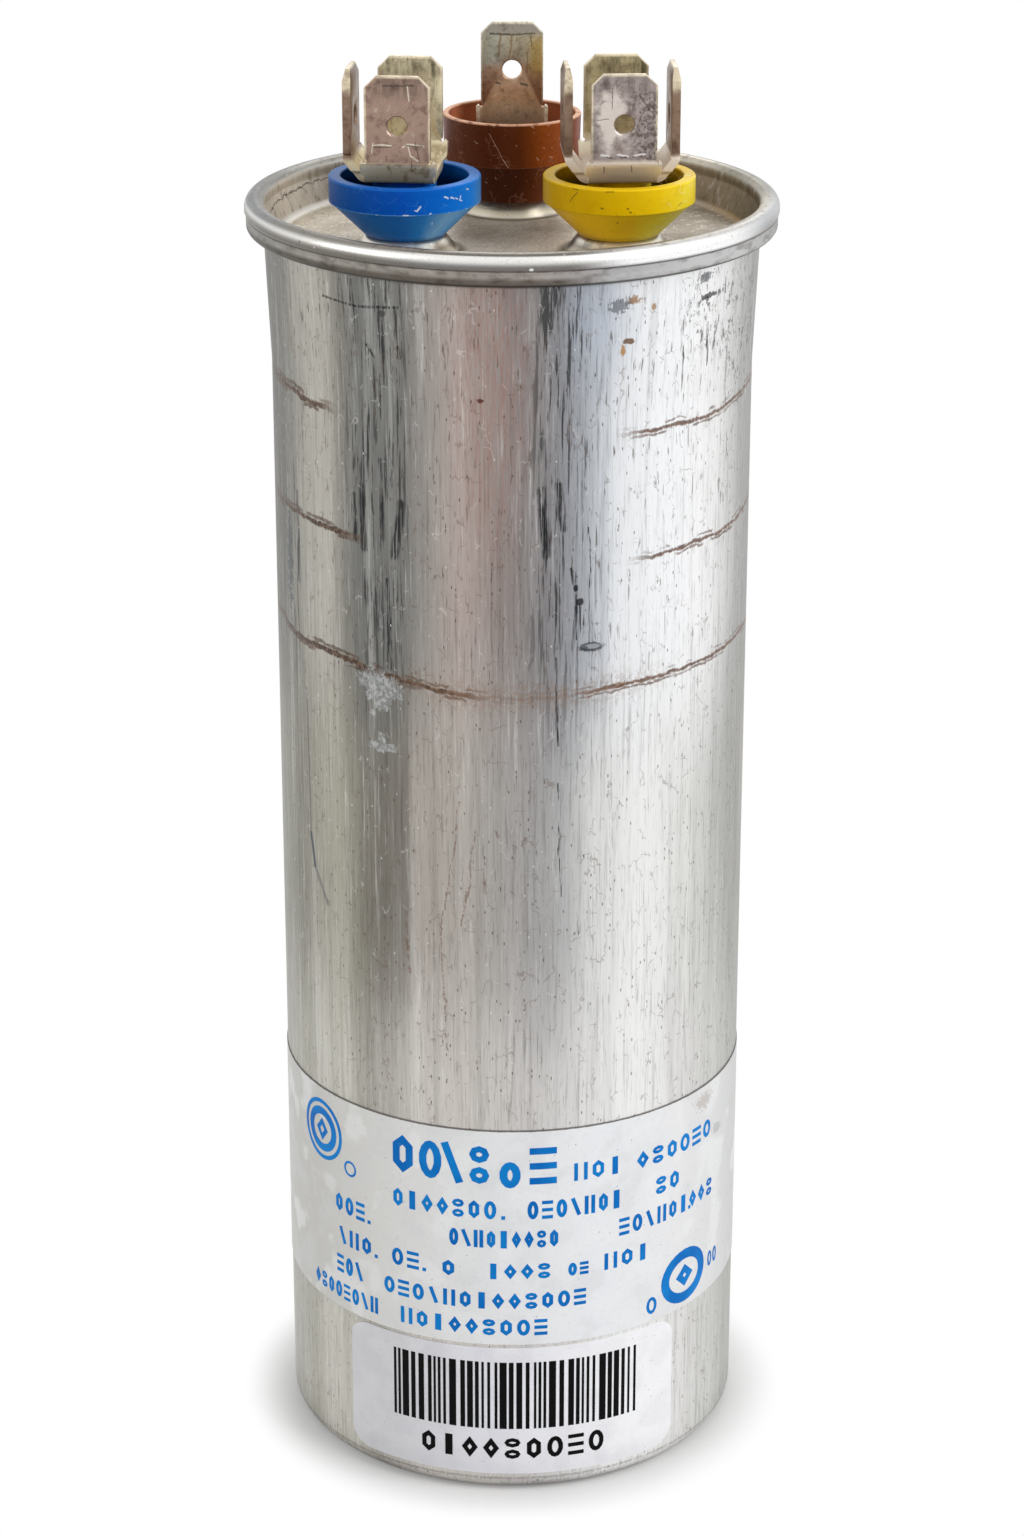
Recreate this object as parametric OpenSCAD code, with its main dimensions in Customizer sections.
// Round dual motor run capacitor: a drawn aluminium can, a cover double-seamed
// into it, three insulated terminals with quick-connect tabs, and the two film
// windings that it holds.
// The axis of the can is Z, its base rests on z = 0, and the single tab stands
// at the back, towards +Y.

/* [Can] */
// Outside radius of the can's straight wall
can_r = 24; // [23:0.25:30]
// Height from the base to the top of the seam
case_h = 133.4; // [124:0.1:170]
// Thickness of the can's sheet
can_t = 0.4; // [0.3:0.05:0.5]
// Outside radius of the can's bottom corner
can_corner_r = 2; // [1.4:0.1:3]
// How far the can's mouth is spread below the seam
flare = 0.55; // [0.1:0.05:0.7]
// Height over which the mouth is spread
flare_h = 13; // [6:0.5:25]

/* [Seam] */
// Height of the double seam
seam_h = 3.25; // [3.1:0.05:4]
// How far the can's wall is set out where it enters the seam
seam_offset = 0.55; // [0.5:0.05:0.9]
// Height over which it is set out
seam_offset_h = 1.2; // [1:0.1:1.5]
// Gap left between the folded layers
seam_gap = 0.05; // [0.04:0.01:0.08]
// Length of the can's hook and of the cover's hook
hook_l = 1.6; // [1.3:0.05:1.7]
// How far the bead stands out over the flat panel below it
bead_bulge = 0.15; // [0.05:0.01:0.2]
// Height of the flat panel below the bead
panel_h = 1.8; // [1.6:0.05:2]

/* [Cover] */
// Thickness of the cover's sheet
cover_t = 0.3; // [0.25:0.05:0.4]
// Depth of the deck below the top of the seam
deck_depth = 4.3; // [4:0.1:6]
// How far the sunk wall leans out from the deck to the bead
wall_lean = 1.1; // [0.5:0.1:2]
// Rounding where the deck turns up
deck_fillet = 0.8; // [0.5:0.1:1.2]
// Rounding of a collar's foot and of its top
collar_fillet = 0.5; // [0.3:0.1:0.5]
// Height of the collar under each terminal
collar_h = 1.6; // [1:0.1:1.8]
// Outside radius of a collar's flat top
collar_top_r = 4.05; // [3.9:0.05:4.4]
// Radius of a collar where it rises from the deck
collar_foot_r = 5.2; // [5:0.1:6]
// Width of the flat left round each collar's foot
collar_margin = 0.4; // [0.2:0.1:0.6]
// Radius of the hole through each collar
collar_hole_r = 2.6; // [2.4:0.1:2.8]

/* [Terminals] */
// Distance from the can's outside to a terminal's axis
terminal_inset = 12; // [11:0.1:12.5]
// Direction of the three-blade terminal round the can's axis, in degrees
blue_angle = 210; // [205:1:215]
// Direction of the four-blade terminal, in degrees
yellow_angle = 330; // [325:1:335]
// Direction of the single-blade terminal, in degrees
brown_angle = 90; // [85:1:95]
// Turn of the three-blade terminal about its own axis, in degrees
blue_turn_angle = -5.5; // [-15:0.5:15]
// Turn of the four-blade terminal about its own axis, in degrees
yellow_turn_angle = 3; // [-15:0.5:15]
// Turn of the single-blade terminal about its own axis, in degrees
brown_turn_angle = 0; // [-15:0.5:15]

/* [Low cups] */
// Height of the blue and the yellow cup
low_cup_h = 5.85; // [5.4:0.05:7]
// Height of the upright band round their rim
low_band_h = 2.5; // [2:0.1:3]
// Outside radius of the band
low_band_r = 7.4; // [7.2:0.1:8]
// Radius of the cone where it meets the collar
low_foot_r = 3.85; // [3.6:0.05:4.2]
// Wall of the rim
low_wall = 1.2; // [0.8:0.1:1.3]
// Thickness of the floor
low_floor = 1.9; // [1.4:0.1:2.2]
// Radius of the hub that carries the stamping
hub_r = 3.1; // [2.6:0.1:3.3]
// Depth of the hub's top below the rim
hub_drop = 0.2; // [0:0.1:0.8]

/* [Tall cup] */
// Height of the brown cup
tall_cup_h = 8.35; // [7.5:0.05:9.5]
// Height of the band above its crease
tall_band_h = 4.45; // [3.5:0.05:5]
// Outside radius at the rim
tall_rim_r = 7; // [6.8:0.1:7.6]
// Outside radius of the band at the crease
tall_crease_r = 6.85; // [6.6:0.05:7.2]
// Outside radius where it meets the collar
tall_foot_r = 5.1; // [4.8:0.1:5.6]
// Wall of the rim
tall_wall = 0.6; // [0.5:0.05:0.9]
// Thickness of the floor
tall_floor = 1.6; // [1.2:0.1:2]

/* [Cup details] */
// Step of the crease below each band
crease_step = 0.12; // [0.05:0.01:0.2]
// Rounding of a cup's edges
cup_edge_r = 0.2; // [0.1:0.05:0.25]
// Length of the spigot that lines the cover's hole
spigot_l = 0.9; // [0.6:0.1:1.1]
// Clearance of the spigot in the cover's hole
spigot_gap = 0.1; // [0.05:0.05:0.15]

/* [Tabs] */
// Width of a quick-connect blade
tab_w = 6.3; // [6:0.05:6.4]
// Thickness of the stampings
tab_t = 0.8; // [0.6:0.05:0.9]
// How far each shoulder stands out past the blade
shoulder_out = 0.5; // [0.35:0.05:0.55]
// Size of the cut corners at a blade's tip
tip_chamfer = 1.15; // [0.8:0.05:1.4]
// Length of the coined tip
coin_l = 1; // [0.6:0.1:1.3]
// Thickness left at the coined tip
coin_t = 0.4; // [0.3:0.05:0.5]
// Radius of the hole in each blade
tab_hole_r = 0.97; // [0.8:0.01:1.1]
// Chamfer round the hole
hole_chamfer = 0.1; // [0.05:0.05:0.15]
// Distance from the tip to the hole's centre
hole_drop = 4.8; // [4.2:0.1:5.2]
// Radius of the relief in each shoulder's corner
relief_r = 0.2; // [0.1:0.05:0.3]
// Distance from a terminal's axis to the middle of an upright blade
spread = 5.16; // [4.9:0.02:5.4]
// Height of the knee above the base plate's underside
knee_h = 2.3; // [2:0.1:2.8]
// Height of the blue blades above their base plate
blue_blade_h = 10.65; // [9.5:0.05:12]
// Height of the yellow blades above their base plate
yellow_blade_h = 10.85; // [9.5:0.05:12]
// Height of the brown blade above its foot
brown_blade_h = 15.3; // [13:0.1:16]
// Height of the brown blade's shoulders above its foot
brown_shoulder_h = 6.9; // [5.5:0.1:7.5]
// Half length of the brown tab's foot in front of the rivet
brown_toe = 2.4; // [2:0.1:2.8]
// Width of the brown tab's foot
brown_foot_w = 5.8; // [5:0.1:6.2]
// Middle radius of the bends
bend_r = 0.8; // [0.7:0.05:0.9]
// Flat left between the bends and what lies beside them
bend_margin = 0.05; // [0.05:0.05:0.15]

/* [Rivets and seals] */
// Radius of a rivet's shank
rivet_r = 1.2; // [1:0.05:1.3]
// Radius of its heads
rivet_head_r = 1.75; // [1.6:0.05:1.8]
// Height of its heads
rivet_head_h = 0.7; // [0.5:0.05:0.9]
// Rounding of its heads
rivet_round = 0.4; // [0.2:0.05:0.45]
// Clearance round the shank
rivet_gap = 0.1; // [0.05:0.05:0.15]
// How far a gasket stays inside the collar's flat top
gasket_inset = 0.75; // [0.7:0.05:1]
// Outside radius of an insulating washer
washer_r = 6.8; // [6.3:0.1:7.2]
// Thickness of an insulating washer
washer_t = 1; // [0.6:0.1:1.4]
// Thickness of a solder lug
lug_t = 0.5; // [0.4:0.05:0.8]
// Radius of a lug's eye
lug_r = 3; // [2.6:0.1:3.4]
// Distance from the rivet to the hole in the tail
lug_reach = 6.5; // [6:0.1:7]
// Width of a lug's tail
lug_tail_w = 3; // [2.6:0.1:3.2]

/* [Leads] */
// Radius over a lead's insulation
lead_r = 0.8; // [0.6:0.05:0.85]
// Radius of its bare conductor
wire_r = 0.4; // [0.3:0.05:0.45]
// Clearance of the conductor in the lug
wire_gap = 0.1; // [0.05:0.05:0.15]
// Height over which the leads slant in to the core tubes
lead_drop = 4; // [3:0.5:6]
// Distance from the axis to a lead inside the core tubes
lead_lane = 1.3; // [1.1:0.05:1.6]
// Distance from the core tube to the lead that lands beside it
land_gap = 0.7; // [0.3:0.1:1.5]
// Distance from the axis to a lead's end
lead_end_r = 7; // [6.5:0.1:9]
// Middle radius of a lead's bends
lead_bend_r = 1.2; // [1:0.1:1.5]

/* [Windings] */
// Height of the large winding
large_h = 80; // [60:1:88]
// Height of the small winding
small_h = 20; // [10:1:28]
// Outside radius of the core tubes
core_r = 4; // [3.8:0.1:4.6]
// Wall of the core tubes
core_wall = 1; // [0.8:0.1:1.1]
// Thickness of the sprayed end contacts
contact_t = 0.6; // [0.4:0.1:1]
// Thickness of the film wrap round both windings
wrap_t = 0.5; // [0.3:0.1:0.8]
// Clearance between the rolled and moulded pieces
fit_gap = 0.05; // [0.03:0.01:0.1]

/* [Inner mouldings] */
// Thickness of the bottom cup's floor
bottom_floor = 1; // [0.8:0.1:1.6]
// Height of the bottom cup's wall
bottom_cup_h = 9; // [6:0.5:15]
// Height of the ring that lifts the windings off the floor
rest_h = 2; // [1.8:0.1:3]
// Inner radius of that ring
rest_r = 10; // [9.5:0.1:14]
// Wall of the bottom cup
bottom_wall = 1.3; // [0.8:0.1:2]
// Clearance between the bottom cup and the can
can_gap = 0.2; // [0.1:0.05:0.3]
// Thickness of the top spacer's plate
spacer_plate = 1.5; // [1:0.1:2.5]
// Wall of the top spacer
spacer_wall = 1.2; // [0.8:0.1:1.5]
// Radius of the opening in the spacers
spacer_hole_r = 9.5; // [9:0.1:12]

/* [Labels] */
// Thickness of the labels
label_t = 0.08; // [0.05:0.01:0.1]
// Height of the rating label
rating_h = 24.7; // [15:0.1:35]
// Length of the rating label round the can
rating_l = 130; // [90:1:135]
// Height of the serial label's lower edge above the can's rounded corner
serial_lift = 0.3; // [0.1:0.1:2]
// Height of the serial label
serial_h = 15; // [8:0.1:15]
// Width of the serial label measured round the can
serial_l = 37.5; // [25:0.5:45]
// Gap between the serial label and the rating label
label_gap = 0.4; // [0.2:0.1:5]
// Radius of the serial label's corners
serial_corner_r = 2; // [1:0.1:3]

/* [Hidden] */

// Smoothness of large circles, of small ones, of the smallest, and of the arcs in a section
round_fn = 96;
small_fn = 48;
wire_fn = 24;
arc_step = 7.5;
// Closest that two points of an outline may come, and the half angle that counts as straight
same_point = 0.001;
straight = 89.9;
// Overlap that makes a cut run clear through a face
cut = 1;
// Sides of a lead
lead_sides = 8;

// Seam: radii of the middle of each layer, from the inside out
seam_wall_r = can_r + flare + seam_offset;
wall_mid_r = seam_wall_r - can_t / 2;
chuck_mid_r = seam_wall_r - can_t - seam_gap - cover_t / 2;
cover_hook_r = seam_wall_r + seam_gap + cover_t / 2;
can_hook_r = cover_hook_r + cover_t / 2 + seam_gap + can_t / 2;
panel_mid_r = can_hook_r + can_t / 2 + seam_gap + cover_t / 2;
bead_mid_r = panel_mid_r + bead_bulge;

// Seam: radii of the folds and the heights of their centres
bead_fold_r = (bead_mid_r - chuck_mid_r) / 2;
can_fold_r = (can_hook_r - wall_mid_r) / 2;
panel_fold_r = (panel_mid_r - cover_hook_r) / 2;
bead_z = case_h - cover_t / 2 - bead_fold_r;
seam_z = case_h - seam_h;
panel_fold_z = seam_z + cover_t / 2 + panel_fold_r;
panel_top_z = seam_z + panel_h;

// Cover: heights of its faces
deck_z = case_h - deck_depth;
deck_under_z = deck_z - cover_t;
seat_z = deck_z + collar_h;
collar_under_z = seat_z - cover_t;
chuck_foot_r = chuck_mid_r - wall_lean;
collar_cut_r = collar_foot_r + collar_margin;
collar_edge_r = collar_cut_r + collar_margin;

// Terminals: the circle they stand on, and heights of the stack from the lug up
terminal_r = can_r - terminal_inset;
washer_z = deck_under_z - washer_t;
lug_z = washer_z - lug_t;
low_plate_z = seat_z + low_cup_h - hub_drop;
brown_foot_z = seat_z + tall_floor;
stack_hole_r = rivet_r + rivet_gap;
spigot_r = collar_hole_r - spigot_gap;
gasket_r = collar_top_r - gasket_inset;

// Stampings: where a blade folds up, and the half width of the flat plate
shoulder_w = tab_w + 2 * shoulder_out;
fold_r = shoulder_w / 2 + bend_margin;
fold_angle = atan2(knee_h - tab_t / 2, spread - fold_r);
plate_r = fold_r - bend_r * tan(fold_angle / 2);
brown_set = rivet_head_r + bend_margin + bend_r;

// Windings: heights of the stack, from the can's floor up
can_inner_r = can_r - can_t;
bottom_cup_r = can_inner_r - can_gap;
bottom_corner_r = can_corner_r + can_gap;
wrap_r = bottom_cup_r - bottom_wall - fit_gap;
wrap_inner_r = wrap_r - wrap_t;
winding_r = wrap_inner_r - fit_gap;
stack_z = can_t + bottom_floor + rest_h;
large_z = stack_z + contact_t;
large_top_z = large_z + large_h;
joint_z = large_top_z + contact_t;
joint_h = 2 * lead_r;
small_contact_z = joint_z + joint_h;
small_z = small_contact_z + contact_t;
small_top_z = small_z + small_h;
stack_top_z = small_top_z + contact_t;

// Leads: where they leave the lugs, turn half way down to the windings, and land
lead_top_r = terminal_r - lug_reach;
land_r = core_r + land_gap + lead_r;
lead_mid_z = (lug_z + stack_top_z) / 2;
lead_turn_z = lead_mid_z + lead_drop / 2;
lead_core_z = lead_mid_z - lead_drop / 2;

// Labels: heights of their lower edges
serial_z = can_corner_r + serial_lift;
rating_z = serial_z + serial_h + label_gap;

// Vector helpers
function unit(v) = v / norm(v);
function turned(v) = [-v[1], v[0]];
function swung(v, a) = [v[0] * cos(a) - v[1] * sin(a), v[0] * sin(a) + v[1] * cos(a)];
function xy(v) = [v[0], v[1]];
function reversed(p) = [for (i = [len(p) - 1:-1:0]) p[i]];
function distinct(p) = [
    for (i = [0:len(p) - 1])
        if (i == 0 || norm(p[i] - p[max(i, 1) - 1]) > same_point) p[i]
];

// The points that round corner b between a and c with radius r
function corner(a, b, c, r) =
    let (u = unit(a - b), v = unit(c - b), half = acos(max(-1, min(1, u * v))) / 2)
    r == 0 || half > straight ? [b] :
    let (
        centre = b + unit(u + v) * r / sin(half),
        first = b + u * r / tan(half) - centre,
        sweep = (cross(u, v) < 0 ? 1 : -1) * (180 - 2 * half),
        steps = ceil(abs(sweep) / arc_step)
    )
    [for (i = [0:steps]) centre + swung(first, sweep * i / steps)];

// A path of [x, y, radius] corners as points, open or closed
function open_path(v) = distinct([
    for (i = [0:len(v) - 1])
        each i == 0 || i == len(v) - 1 ? [xy(v[i])]
            : corner(xy(v[i - 1]), xy(v[i]), xy(v[i + 1]), v[i][2])
]);
function closed_path(v) = distinct([
    for (i = [0:len(v) - 1])
        each corner(xy(v[(i + len(v) - 1) % len(v)]), xy(v[i]), xy(v[(i + 1) % len(v)]), v[i][2])
]);

// The path moved sideways by d, and the outline of a sheet of thickness t along it
function side(p, d) = [
    for (i = [0:len(p) - 1])
        let (
            j = max(i, 1),
            k = min(i + 1, len(p) - 1),
            before = unit(p[j] - p[j - 1]),
            after = unit(p[k] - p[k - 1]),
            n = turned(unit(before + after))
        )
        p[i] + n * d / (n * turned(before))
];
function sheet(v, t) = let (p = open_path(v)) concat(side(p, t / 2), reversed(side(p, -t / 2)));

// A body of revolution from its rounded outline
module turned_body(v) {
    rotate_extrude($fn = round_fn) polygon(closed_path(v));
}

// Puts its children on a terminal's axis, turned with the terminal
module at_terminal(direction, turn = 0) {
    rotate([0, 0, direction])
        translate([terminal_r, 0, 0])
            rotate([0, 0, turn - direction])
                children();
}

// The drawn can: floor, corner, wall, spread mouth, step and hook
module can() {
    color("silver")
        rotate_extrude($fn = round_fn)
            polygon(sheet([
                [0, can_t / 2],
                [can_r - can_t / 2, can_t / 2, can_corner_r - can_t / 2],
                [can_r - can_t / 2, seam_z - flare_h, 0],
                [can_r + flare - can_t / 2, seam_z - can_t, can_t],
                [wall_mid_r, seam_z - can_t + seam_offset_h, can_t],
                [wall_mid_r, bead_z + can_fold_r, can_fold_r],
                [can_hook_r, bead_z + can_fold_r, can_fold_r],
                [can_hook_r, bead_z - hook_l]
            ], can_t));
}

// The cover's section: sunk deck, leaning wall, bead, panel and hook
module cover_sheet() {
    rotate_extrude($fn = round_fn)
        polygon(sheet([
            [0, deck_z - cover_t / 2],
            [chuck_foot_r, deck_z - cover_t / 2, deck_fillet],
            [chuck_mid_r, bead_z - bead_fold_r / 2, deck_fillet],
            [chuck_mid_r, bead_z + bead_fold_r, bead_fold_r],
            [bead_mid_r, bead_z + bead_fold_r, bead_fold_r],
            [bead_mid_r, panel_top_z + bead_bulge, 0],
            [panel_mid_r, panel_top_z - bead_bulge, 0],
            [panel_mid_r, panel_fold_z - panel_fold_r, panel_fold_r],
            [cover_hook_r, panel_fold_z - panel_fold_r, panel_fold_r],
            [cover_hook_r, panel_fold_z + hook_l]
        ], cover_t));
}

// One collar pressed up from the deck, with the terminal's hole
module collar() {
    rotate_extrude($fn = round_fn)
        polygon(sheet([
            [collar_edge_r, deck_z - cover_t / 2],
            [collar_foot_r, deck_z - cover_t / 2, collar_fillet],
            [collar_top_r - cover_t / 2, seat_z - cover_t / 2, collar_fillet],
            [collar_hole_r, seat_z - cover_t / 2]
        ], cover_t));
}

module cover() {
    color("gainsboro") {
        difference() {
            cover_sheet();
            for (direction = [blue_angle, yellow_angle, brown_angle])
                at_terminal(direction)
                    translate([0, 0, deck_under_z - cut])
                        cylinder(r = collar_cut_r, h = cover_t + 2 * cut, $fn = round_fn);
        }
        for (direction = [blue_angle, yellow_angle, brown_angle])
            at_terminal(direction) collar();
    }
}

// A low cup: cone, upright band, moat and the hub that carries the stamping
module low_cup() {
    cavity_r = low_band_r - low_wall;
    band_z = low_cup_h - low_band_h;
    translate([0, 0, seat_z])
        turned_body([
            [stack_hole_r, -spigot_l, 0],
            [spigot_r, -spigot_l, 0],
            [spigot_r, 0, 0],
            [low_foot_r, 0, cup_edge_r],
            [low_band_r - crease_step, band_z, 0],
            [low_band_r, band_z, 0],
            [low_band_r, low_cup_h, cup_edge_r],
            [cavity_r, low_cup_h, cup_edge_r],
            [cavity_r, band_z, cup_edge_r],
            [hub_r + (cavity_r - hub_r) / 2, low_floor, cup_edge_r],
            [hub_r, low_floor, cup_edge_r],
            [hub_r, low_cup_h - hub_drop, 0],
            [stack_hole_r, low_cup_h - hub_drop, 0]
        ]);
}

// The tall cup: tapered foot, crease, thin-walled band and a plain floor
module tall_cup() {
    crease_z = tall_cup_h - tall_band_h;
    cavity_r = tall_rim_r - tall_wall;
    translate([0, 0, seat_z])
        turned_body([
            [stack_hole_r, -spigot_l, 0],
            [spigot_r, -spigot_l, 0],
            [spigot_r, 0, 0],
            [tall_foot_r, 0, cup_edge_r],
            [tall_crease_r - crease_step, crease_z, 0],
            [tall_crease_r, crease_z, 0],
            [tall_rim_r, tall_cup_h, cup_edge_r],
            [cavity_r, tall_cup_h, cup_edge_r],
            [cavity_r - crease_step, crease_z, cup_edge_r],
            [tall_foot_r - cup_edge_r, tall_floor, cup_edge_r],
            [stack_hole_r, tall_floor, 0]
        ]);
}

module blue_cup() {
    color("dodgerblue") at_terminal(blue_angle) low_cup();
}

module yellow_cup() {
    color("gold") at_terminal(yellow_angle) low_cup();
}

module brown_cup() {
    color("saddlebrown") at_terminal(brown_angle) tall_cup();
}

// A blade seen from the side: the bent strip with its coined tip.
// The path starts at the base, and the blade stands at x = stand.
module blade_side(path, stand, tip) {
    difference() {
        polygon(sheet(path, tab_t));
        for (flank = [-1, 1])
            polygon([
                [stand + flank * tab_t / 2, tip - coin_l],
                [stand + flank * tab_t, tip - coin_l],
                [stand + flank * tab_t, tip + cut],
                [stand + flank * (coin_t / 2 - cut * (tab_t - coin_t) / 2 / coin_l), tip + cut]
            ]);
    }
}

// A blade seen from the front: foot, shoulders, blade and cut corners
module blade_front(foot_w, foot_top, shoulder, tip) {
    difference() {
        polygon([
            for (flank = [-1, 1])
                let (half = [
                    [foot_w / 2, -cut],
                    [foot_w / 2, foot_top],
                    [shoulder_w / 2, foot_top + (shoulder_w - foot_w) / 2],
                    [shoulder_w / 2, shoulder - relief_r],
                    [shoulder_w / 2 - relief_r, shoulder],
                    [tab_w / 2, shoulder],
                    [tab_w / 2, tip - tip_chamfer],
                    [tab_w / 2 - tip_chamfer, tip]
                ])
                each [for (p = flank > 0 ? half : reversed(half)) [flank * p[0], p[1]]]
        ]);
        for (flank = [-1, 1])
            translate([flank * tab_w / 2, shoulder])
                circle(r = relief_r, $fn = wire_fn);
    }
}

// The hole through a blade, with a small chamfer on both faces
module blade_hole() {
    cylinder(r = tab_hole_r, h = 2 * tab_t, center = true, $fn = small_fn);
    for (flip = [0, 1])
        mirror([0, 0, flip])
            translate([0, 0, tab_t / 2 - hole_chamfer])
                cylinder(
                    r1 = tab_hole_r, r2 = tab_hole_r + 2 * hole_chamfer,
                    h = 2 * hole_chamfer, $fn = small_fn
                );
}

// One blade that faces +X, its base on z = 0
module blade(path, stand, foot_w, foot_top, shoulder, tip) {
    difference() {
        intersection() {
            rotate([90, 0, 0])
                linear_extrude(height = 2 * shoulder_w, center = true)
                    blade_side(path, stand, tip);
            rotate([90, 0, 90])
                linear_extrude(height = 4 * spread, center = true)
                    blade_front(foot_w, foot_top, shoulder, tip);
        }
        translate([stand, 0, tip - hole_drop])
            rotate([0, 90, 0])
                blade_hole();
    }
}

// A stamping with blades folded up from the edges of a square plate
module tab_cluster(blade_h, directions) {
    difference() {
        union() {
            for (a = directions)
                rotate([0, 0, a])
                    blade(
                        [
                            [0, tab_t / 2],
                            [fold_r, tab_t / 2, bend_r],
                            [spread, knee_h, bend_r],
                            [spread, blade_h]
                        ],
                        spread, 2 * plate_r, tab_t, knee_h + relief_r, blade_h
                    );
        }
        translate([0, 0, -cut])
            cylinder(r = stack_hole_r, h = tab_t + 2 * cut, $fn = small_fn);
    }
}

module blue_tabs() {
    color("tan")
        at_terminal(blue_angle, blue_turn_angle)
            translate([0, 0, low_plate_z])
                tab_cluster(blue_blade_h, [90, 180, 270]);
}

module yellow_tabs() {
    color("tan")
        at_terminal(yellow_angle, yellow_turn_angle)
            translate([0, 0, low_plate_z])
                tab_cluster(yellow_blade_h, [0, 90, 180, 270]);
}

module brown_tab() {
    color("tan")
        at_terminal(brown_angle, brown_turn_angle)
            translate([0, 0, brown_foot_z])
                rotate([0, 0, 90])
                    difference() {
                        blade(
                            [
                                [-brown_toe, tab_t / 2],
                                [brown_set, tab_t / 2, bend_r],
                                [brown_set, brown_blade_h]
                            ],
                            brown_set, brown_foot_w, 2 * tab_t, brown_shoulder_h, brown_blade_h
                        );
                        translate([0, 0, -cut])
                            cylinder(r = stack_hole_r, h = tab_t + 2 * cut, $fn = small_fn);
                    }
}

// A rivet that clamps a stack from the lug up to the plate's top
module rivet(plate_top) {
    turned_body([
        [0, lug_z - rivet_head_h, 0],
        [rivet_head_r, lug_z - rivet_head_h, rivet_round],
        [rivet_head_r, lug_z, 0],
        [rivet_r, lug_z, 0],
        [rivet_r, plate_top, 0],
        [rivet_head_r, plate_top, 0],
        [rivet_head_r, plate_top + rivet_head_h, rivet_round],
        [0, plate_top + rivet_head_h, 0]
    ]);
}

module blue_rivet() {
    color("darkgray") at_terminal(blue_angle) rivet(low_plate_z + tab_t);
}

module yellow_rivet() {
    color("darkgray") at_terminal(yellow_angle) rivet(low_plate_z + tab_t);
}

module brown_rivet() {
    color("darkgray") at_terminal(brown_angle) rivet(brown_foot_z + tab_t);
}

// A rubber gasket in the hollow of a collar, round the cup's spigot
module gasket() {
    gasket_hole_r = spigot_r + spigot_gap;
    turned_body([
        [gasket_hole_r, deck_under_z, 0],
        [gasket_r, deck_under_z, 0],
        [gasket_r, collar_under_z, 0],
        [gasket_hole_r, collar_under_z, 0]
    ]);
}

module blue_gasket() {
    color("dimgray") at_terminal(blue_angle) gasket();
}

module yellow_gasket() {
    color("dimgray") at_terminal(yellow_angle) gasket();
}

module brown_gasket() {
    color("dimgray") at_terminal(brown_angle) gasket();
}

// An insulating washer that spans a collar's hollow from below
module washer() {
    turned_body([
        [stack_hole_r, washer_z, 0],
        [washer_r, washer_z, cup_edge_r],
        [washer_r, deck_under_z, 0],
        [stack_hole_r, deck_under_z, 0]
    ]);
}

module blue_washer() {
    color("wheat") at_terminal(blue_angle) washer();
}

module yellow_washer() {
    color("wheat") at_terminal(yellow_angle) washer();
}

module brown_washer() {
    color("wheat") at_terminal(brown_angle) washer();
}

// A solder lug: an eye for the rivet and a tail that points to the axis
module lug(direction) {
    at_terminal(direction)
        rotate([0, 0, direction + 180])
            translate([0, 0, lug_z])
                linear_extrude(height = lug_t)
                    difference() {
                        union() {
                            circle(r = lug_r, $fn = small_fn);
                            translate([0, -lug_tail_w / 2])
                                square([lug_reach, lug_tail_w]);
                            translate([lug_reach, 0])
                                circle(r = lug_tail_w / 2, $fn = small_fn);
                        }
                        circle(r = stack_hole_r, $fn = small_fn);
                        translate([lug_reach, 0])
                            circle(r = wire_r + wire_gap, $fn = wire_fn);
                    }
}

module blue_lug() {
    color("goldenrod") lug(blue_angle);
}

module yellow_lug() {
    color("goldenrod") lug(yellow_angle);
}

module brown_lug() {
    color("goldenrod") lug(brown_angle);
}

// An insulated lead swept along a path in the plane of its terminal
module swept_lead(path) {
    p = open_path(path);
    inner = side(p, lead_r);
    rings = len(p);
    points = [
        for (i = [0:rings - 1])
            for (k = [0:lead_sides - 1])
                let (a = 360 * k / lead_sides, q = p[i] + (inner[i] - p[i]) * cos(a))
                [q[0], lead_r * sin(a), q[1]]
    ];
    walls = [
        for (i = [0:rings - 2])
            for (k = [0:lead_sides - 1])
                let (a = i * lead_sides, b = (k + 1) % lead_sides)
                [a + k, a + b, a + lead_sides + b, a + lead_sides + k]
    ];
    ends = [
        [for (k = [lead_sides - 1:-1:0]) k],
        [for (k = [0:lead_sides - 1]) (rings - 1) * lead_sides + k]
    ];
    polyhedron(points = points, faces = concat(walls, ends), convexity = 4);
}

// The bare end in the lug's hole, flush with the lug's top
module wire_end() {
    translate([lead_top_r, 0, lug_z - cut])
        cylinder(r = wire_r, h = cut + lug_t, $fn = wire_fn);
}

module lead(direction, path) {
    rotate([0, 0, direction]) {
        swept_lead(path);
        wire_end();
    }
}

// Down through both cores to the lower face of the large winding
module blue_lead() {
    color("royalblue")
        lead(blue_angle, [
            [lead_top_r, lug_z],
            [lead_top_r, lead_turn_z, lead_bend_r],
            [lead_lane, lead_core_z, lead_bend_r],
            [lead_lane, stack_z - lead_r, lead_bend_r],
            [lead_end_r, stack_z - lead_r]
        ]);
}

// Down through the small winding's core to the joint of the two windings
module yellow_lead() {
    color("khaki")
        lead(yellow_angle, [
            [lead_top_r, lug_z],
            [lead_top_r, lead_turn_z, lead_bend_r],
            [lead_lane, lead_core_z, lead_bend_r],
            [lead_lane, joint_z + lead_r, lead_bend_r],
            [lead_end_r, joint_z + lead_r]
        ]);
}

// Down beside the core to the upper face of the small winding
module brown_lead() {
    color("sienna")
        lead(brown_angle, [
            [lead_top_r, lug_z],
            [lead_top_r, lead_turn_z, lead_bend_r],
            [land_r, lead_core_z, lead_bend_r],
            [land_r, stack_top_z]
        ]);
}

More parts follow.
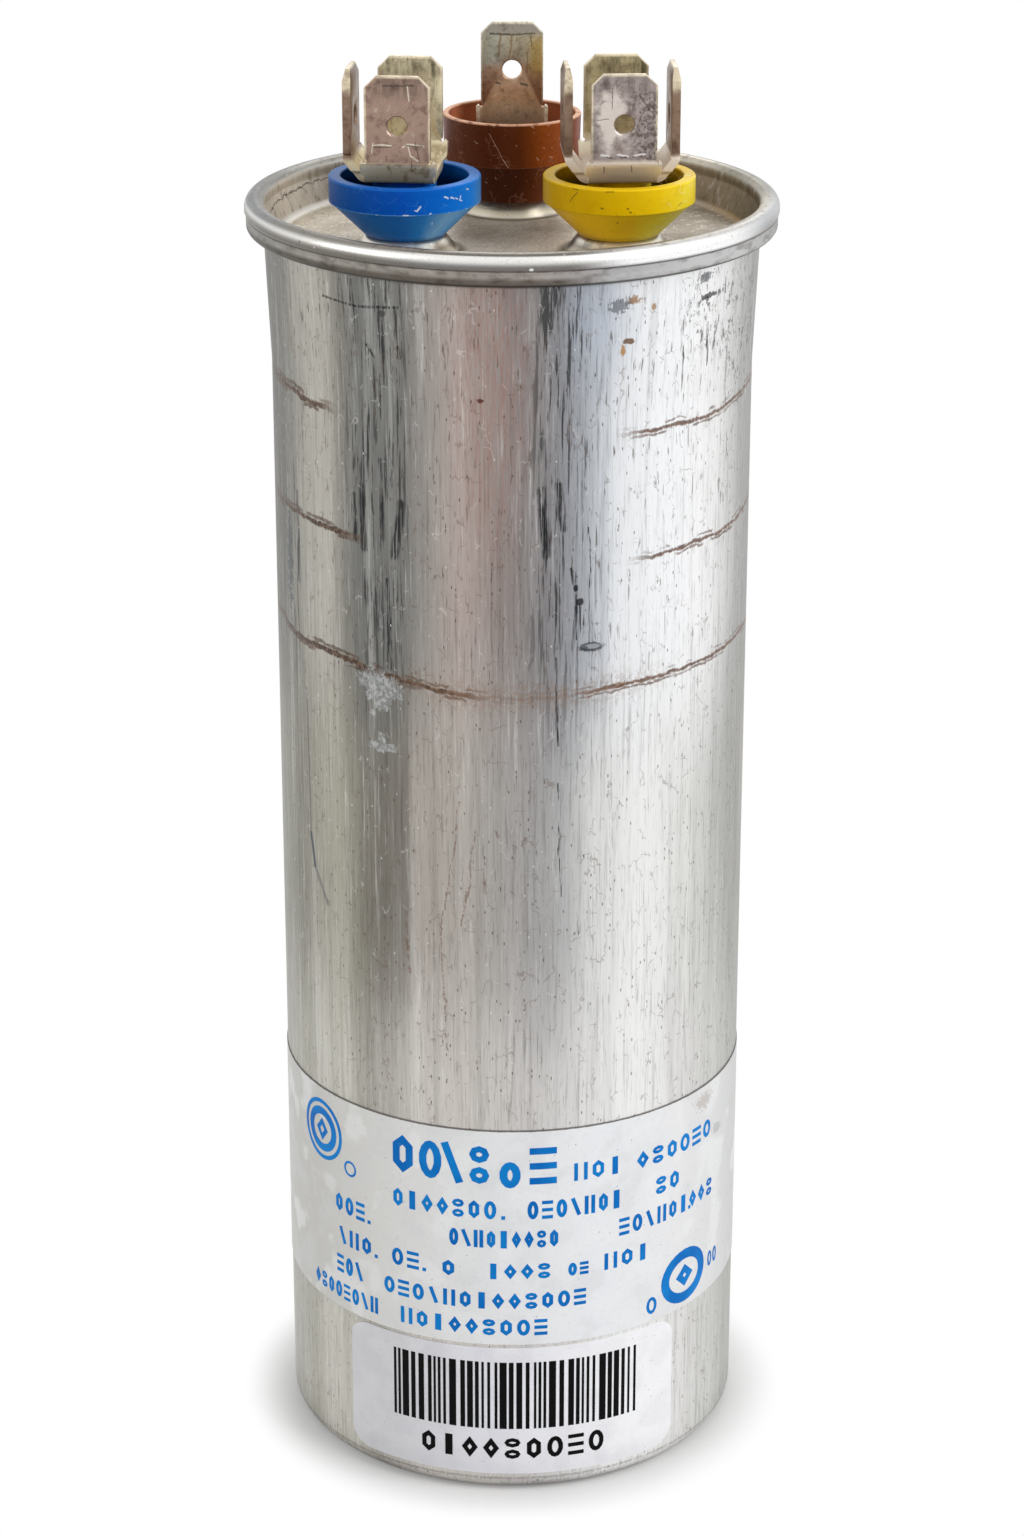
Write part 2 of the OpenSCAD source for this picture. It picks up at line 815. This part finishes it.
// The moulded cup that keeps the windings off the can
module bottom_cup() {
    color("ivory")
        turned_body([
            [0, can_t, 0],
            [bottom_cup_r, can_t, bottom_corner_r],
            [bottom_cup_r, can_t + bottom_cup_h, cup_edge_r],
            [bottom_cup_r - bottom_wall, can_t + bottom_cup_h, cup_edge_r],
            [bottom_cup_r - bottom_wall, stack_z, 0],
            [rest_r, stack_z, 0],
            [rest_r, can_t + bottom_floor, 0],
            [0, can_t + bottom_floor, 0]
        ]);
}

// A straight tube between two heights
module tube(inner, outer, z, h) {
    turned_body([[inner, z, 0], [outer, z, 0], [outer, z + h, 0], [inner, z + h, 0]]);
}

// The core tubes reach through the sprayed contacts at their ends
module large_core() {
    color("beige") tube(core_r - core_wall, core_r, stack_z, large_h + 2 * contact_t);
}

module small_core() {
    color("beige") tube(core_r - core_wall, core_r, small_contact_z, small_h + 2 * contact_t);
}

module large_winding() {
    color("lightgray") tube(core_r + fit_gap, winding_r, large_z, large_h);
}

module small_winding() {
    color("lightgray") tube(core_r + fit_gap, winding_r, small_z, small_h);
}

// The sprayed metal that joins all the turns at a winding's end
module contact(z) {
    color("slategray") tube(core_r + fit_gap, winding_r, z, contact_t);
}

module large_bottom_contact() {
    contact(stack_z);
}

module large_top_contact() {
    contact(large_top_z);
}

module small_bottom_contact() {
    contact(small_contact_z);
}

module small_top_contact() {
    contact(small_top_z);
}

// The ring between the windings leaves room for the common lead
module section_spacer() {
    color("ivory") tube(spacer_hole_r, winding_r, joint_z, joint_h);
}

module winding_wrap() {
    color("whitesmoke") tube(wrap_inner_r, wrap_r, stack_z, stack_top_z - stack_z);
}

// The top spacer stands on the windings and reaches up to the deck
module top_spacer() {
    color("ivory")
        turned_body([
            [spacer_hole_r, stack_top_z, 0],
            [winding_r, stack_top_z, 0],
            [winding_r, deck_under_z, cup_edge_r],
            [winding_r - spacer_wall, deck_under_z, cup_edge_r],
            [winding_r - spacer_wall, stack_top_z + spacer_plate, cup_edge_r],
            [spacer_hole_r, stack_top_z + spacer_plate, cup_edge_r]
        ]);
}

// A ring of film round the can's straight wall
module film_ring(z, h) {
    rotate_extrude($fn = round_fn)
        translate([can_r, z])
            square([label_t, h]);
}

// The rating label leaves a gap at the back of the can
module rating_label() {
    sweep = rating_l / can_r * 180 / PI;
    color("white")
        intersection() {
            film_ring(rating_z, rating_h);
            rotate([0, 0, 270 - sweep / 2])
                rotate_extrude(angle = sweep, $fn = round_fn)
                    translate([0, rating_z - cut])
                        square([2 * can_r, rating_h + 2 * cut]);
        }
}

// The serial label has rounded corners, seen from the front
module serial_label() {
    half_w = can_r * sin(serial_l / can_r * 90 / PI);
    serial_top_z = serial_z + serial_h;
    color("lavender")
        intersection() {
            film_ring(serial_z, serial_h);
            rotate([90, 0, 0])
                linear_extrude(height = 2 * can_r)
                    polygon(closed_path([
                        [-half_w, serial_z, serial_corner_r],
                        [half_w, serial_z, serial_corner_r],
                        [half_w, serial_top_z, serial_corner_r],
                        [-half_w, serial_top_z, serial_corner_r]
                    ]));
        }
}

can();
cover();
blue_cup();
yellow_cup();
brown_cup();
blue_tabs();
yellow_tabs();
brown_tab();
blue_rivet();
yellow_rivet();
brown_rivet();
blue_gasket();
yellow_gasket();
brown_gasket();
blue_washer();
yellow_washer();
brown_washer();
blue_lug();
yellow_lug();
brown_lug();
blue_lead();
yellow_lead();
brown_lead();
bottom_cup();
large_core();
large_winding();
large_bottom_contact();
large_top_contact();
section_spacer();
small_core();
small_winding();
small_bottom_contact();
small_top_contact();
winding_wrap();
top_spacer();
rating_label();
serial_label();
